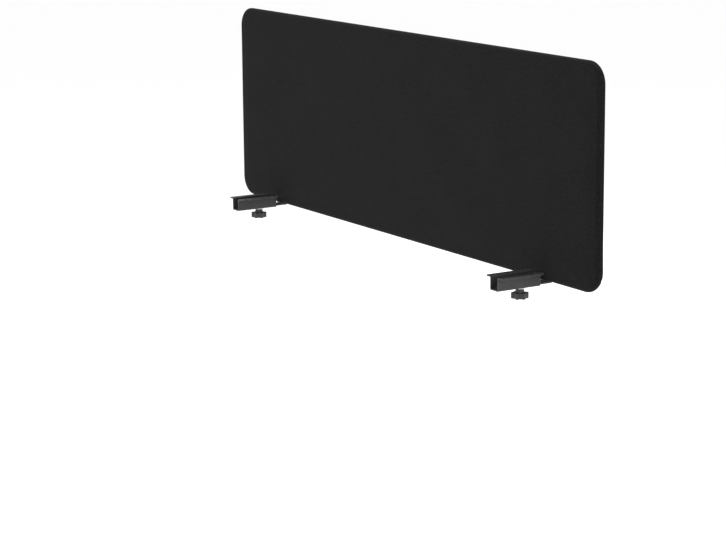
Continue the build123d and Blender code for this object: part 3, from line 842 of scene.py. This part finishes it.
# a plate in the X-Z plane, from rings of (x, z, corner radius): its outline, then its holes
def flatPlate(name, rings, y, halfThick, rounding, resolution=6):
    curve = bpy.data.curves.new(name, "CURVE")
    curve.dimensions = "2D"
    curve.fill_mode = "BOTH"
    curve.extrude = halfThick - rounding
    curve.bevel_depth = rounding
    curve.bevel_resolution = 2
    for ring in rings:
        points = []
        for index, (x, z, corner) in enumerate(ring):
            here = Vector((x, z))
            before = Vector(ring[index - 1][:2])
            after = Vector(ring[(index + 1) % len(ring)][:2])
            start = here + (before - here).normalized() * corner
            end = here + (after - here).normalized() * corner
            for step in range(resolution + 1):
                share = step / resolution
                points.append(start.lerp(here, share).lerp(here.lerp(end, share), share))
        spline = curve.splines.new("POLY")
        spline.points.add(len(points) - 1)
        for point, place in zip(spline.points, points):
            point.co = (place.x, place.y, 0, 1)
        spline.use_cyclic_u = True
    shown = bpy.data.objects.new(name, curve)
    bpy.context.scene.collection.objects.link(shown)
    bpy.context.view_layer.update()
    solid = shown.evaluated_get(bpy.context.evaluated_depsgraph_get())
    mesh = bpy.data.meshes.new_from_object(solid)
    bpy.data.objects.remove(shown)
    bpy.data.curves.remove(curve)
    upright = Matrix.Rotation(math.radians(90), 4, "X")
    mesh.transform(Matrix.Translation((0, y, 0)) @ upright)
    bm = bmesh.new()
    bm.from_mesh(mesh)
    bpy.data.meshes.remove(mesh)
    bmesh.ops.remove_doubles(bm, verts=bm.verts, dist=1e-7)
    return bm


pullLook = {
    "shoulder": 5.2 * mm,  # from the pivot to where the pull starts to narrow
    "waistStart": 9.2 * mm,
    "waistEnd": 8 * mm,  # from the free end
    "tipStart": 4 * mm,
    "waist": 0.72,  # in shares of the full width
    "tip": 0.8,
    "corner": 1.9 * mm,
    "windowStart": 0.55 * mm,  # from the pivot
    "windowEnd": 4 * mm,
    "windowHalf": 1.6 * mm,
    "holeStart": 2.6 * mm,  # from the free end
    "holeEnd": 7.4 * mm,
    "holeHalf": 1.1 * mm,
    "rounding": 0.2 * mm,
}


def shapePull():
    low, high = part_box("zip_pull")
    middle = (low + high) / 2
    halfThick = (high.y - low.y) / 2
    pivot = high.x - halfThick
    half = (high.z - low.z) / 2
    waist = half * pullLook["waist"]
    corner = pullLook["corner"]
    upper = (
        (pivot + 0.2 * mm, half, 0.4 * mm),
        (pivot - pullLook["shoulder"], half, 1.7 * mm),
        (pivot - pullLook["waistStart"], waist, corner),
        (low.x + pullLook["waistEnd"], waist, corner),
        (low.x + pullLook["tipStart"], half, corner),
        (low.x, half * pullLook["tip"], corner),
    )
    outline = tuple((x, middle.z + z, r) for x, z, r in upper)
    outline += tuple((x, middle.z - z, r) for x, z, r in reversed(upper))
    near, far = pivot - pullLook["windowStart"], pivot - pullLook["windowEnd"]
    wide = pullLook["windowHalf"]
    window = (
        (near, middle.z - wide, 0.4 * mm),
        (near, middle.z + wide, 0.4 * mm),
        (far, middle.z + wide, 0.8 * mm),
        (far, middle.z - wide, 0.8 * mm),
    )
    near, far = low.x + pullLook["holeStart"], low.x + pullLook["holeEnd"]
    wide = pullLook["holeHalf"]
    corners = ((near, -wide), (near, wide), (far, wide), (far, -wide))
    hole = tuple((x, middle.z + z, 1.0 * mm) for x, z in corners)
    rings = (outline, window, hole)
    bm = flatPlate("pullTrial", rings, middle.y, halfThick, pullLook["rounding"])
    ends = bmesh.ops.create_cone(
        bm, cap_ends=True, segments=20, radius1=halfThick, radius2=halfThick,
        depth=high.z - low.z - 0.1 * mm,
    )["verts"]
    bmesh.ops.translate(bm, verts=ends, vec=(pivot, middle.y, middle.z))
    finishPiece("zipPullTab", bm, gunmetal, "zip_pull", ("zip_pull",), sharp=35)


# two top stops at one end of the zip and one bottom stop across both tapes at the other
def pressStops():
    low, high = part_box("zip_stops")
    long = stopLook["length"]
    slit = stopLook["slit"] / 2
    bm = bmesh.new()
    boxOf(bm, low, (low.x + long, high.y, high.z))
    boxOf(bm, (high.x - long, low.y, low.z), (high.x, high.y, zipMiddle.z - slit))
    boxOf(bm, (high.x - long, low.y, zipMiddle.z + slit), high)
    bevelEdges(bm, bm.edges[:], stopLook["rounding"], 3)
    finishPiece("zipStops", bm, gunmetal, "panel", ("zip_stops",), sharp=35)


sewZip()
pressStops()
shapeSlider()
shapePull()
print("zip sewn")

# the clamping knobs

knobLook = {
    "lobes": 6,
    "valley": 13.6 * mm,
    "thick": 15 * mm,
    "rounding": 2.2 * mm,
    # radius and height of each ring: the hub over the lobes, and the dimple under them
    "hub": ((10.2 * mm, 0.0), (9.6 * mm, 4 * mm), (8.9 * mm, 8 * mm)),
    "dimple": ((9.5 * mm, 0.0), (9.0 * mm, 0.5 * mm), (8.4 * mm, 0.5 * mm), (7.9 * mm, 0.05 * mm)),
}


# steps a round face inwards, ring by ring
def stepRings(bm, face, rings, base):
    for radius, lift in rings:
        bmesh.ops.inset_region(bm, faces=[face], thickness=0.4 * mm, use_even_offset=False)
        for vert in face.verts:
            angle = math.atan2(vert.co.y, vert.co.x)
            vert.co = (math.cos(angle) * radius, math.sin(angle) * radius, base + lift)


def mouldKnob(side):
    low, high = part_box(side + "_knob_grip")
    middle = (low + high) / 2
    outer = (high.x - low.x) / 2
    swing = (outer - knobLook["valley"]) / 2
    bm = bmesh.new()
    bmesh.ops.create_circle(bm, cap_ends=True, segments=96, radius=1)
    bmesh.ops.translate(bm, verts=bm.verts, vec=(0, 0, low.z))
    for vert in bm.verts:
        angle = math.atan2(vert.co.y, vert.co.x)
        wave = math.cos(angle * knobLook["lobes"])
        radius = knobLook["valley"] + swing + swing * math.copysign(abs(wave) ** 0.8, wave)
        vert.co.x, vert.co.y = math.cos(angle) * radius, math.sin(angle) * radius
    raised = bmesh.ops.extrude_face_region(bm, geom=bm.faces[:])["geom"]
    top = [g for g in raised if isinstance(g, bmesh.types.BMVert)]
    bmesh.ops.translate(bm, verts=top, vec=(0, 0, knobLook["thick"]))
    bmesh.ops.recalc_face_normals(bm, faces=bm.faces)
    lid = max(bm.faces, key=lambda f: f.calc_center_median().z)
    stepRings(bm, lid, knobLook["hub"], low.z + knobLook["thick"])
    foot = min(bm.faces, key=lambda f: f.calc_center_median().z)
    stepRings(bm, foot, knobLook["dimple"], low.z)
    rims = []
    for edge in bm.edges:
        heights = [v.co.z for v in edge.verts]
        radii = [v.co.xy.length for v in edge.verts]
        if min(radii) > knobLook["valley"] - 0.5 * mm and abs(heights[0] - heights[1]) < 1e-6:
            if len(edge.link_faces) == 2 and edge.calc_face_angle(0) > math.radians(60):
                rims.append(edge)
    bevelEdges(bm, rims, knobLook["rounding"], 5)
    bmesh.ops.translate(bm, verts=bm.verts, vec=(middle.x, middle.y, 0))
    body, node = side + "_knob", side + "_knob_grip"
    finishPiece(side + "StarKnob", bm, knobNylon, body, (node,), sharp=45)


for side in ("left", "right"):
    mouldKnob(side)
print("knobs moulded")

# the nodes that keep their own shape

nodeFinishes = {
    pineLong: ("top_rail", "bottom_rail"),
    pineUp: ("left_stile", "right_stile", "centre_mullion", "left_bracket_post", "right_bracket_post"),
    plywood: tuple(f"{h}_{s}_corner_block" for h in ("top", "bottom") for s in ("left", "right")),
    beech: ("frame_dowels",),
    board: tuple(f"{p}_{s}_infill" for p in ("inner", "outer") for s in ("left", "right")),
    socketNylon: ("left_blade_socket", "right_blade_socket"),
    blackSteel: ("left_channel", "right_channel", "left_slide_bar", "right_slide_bar"),
    bladeSteel: ("left_upright_blade", "right_upright_blade"),
    zinc: (
        "left_carriage_bolt",
        "right_carriage_bolt",
        "left_washer",
        "right_washer",
        "left_socket_screws",
        "right_socket_screws",
    ),
    brass: ("left_knob_insert", "right_knob_insert"),
}
for material, names in nodeFinishes.items():
    for name in names:
        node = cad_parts[name]
        for materialSlot in node.material_slots:
            materialSlot.material = material
print("nodes finished")
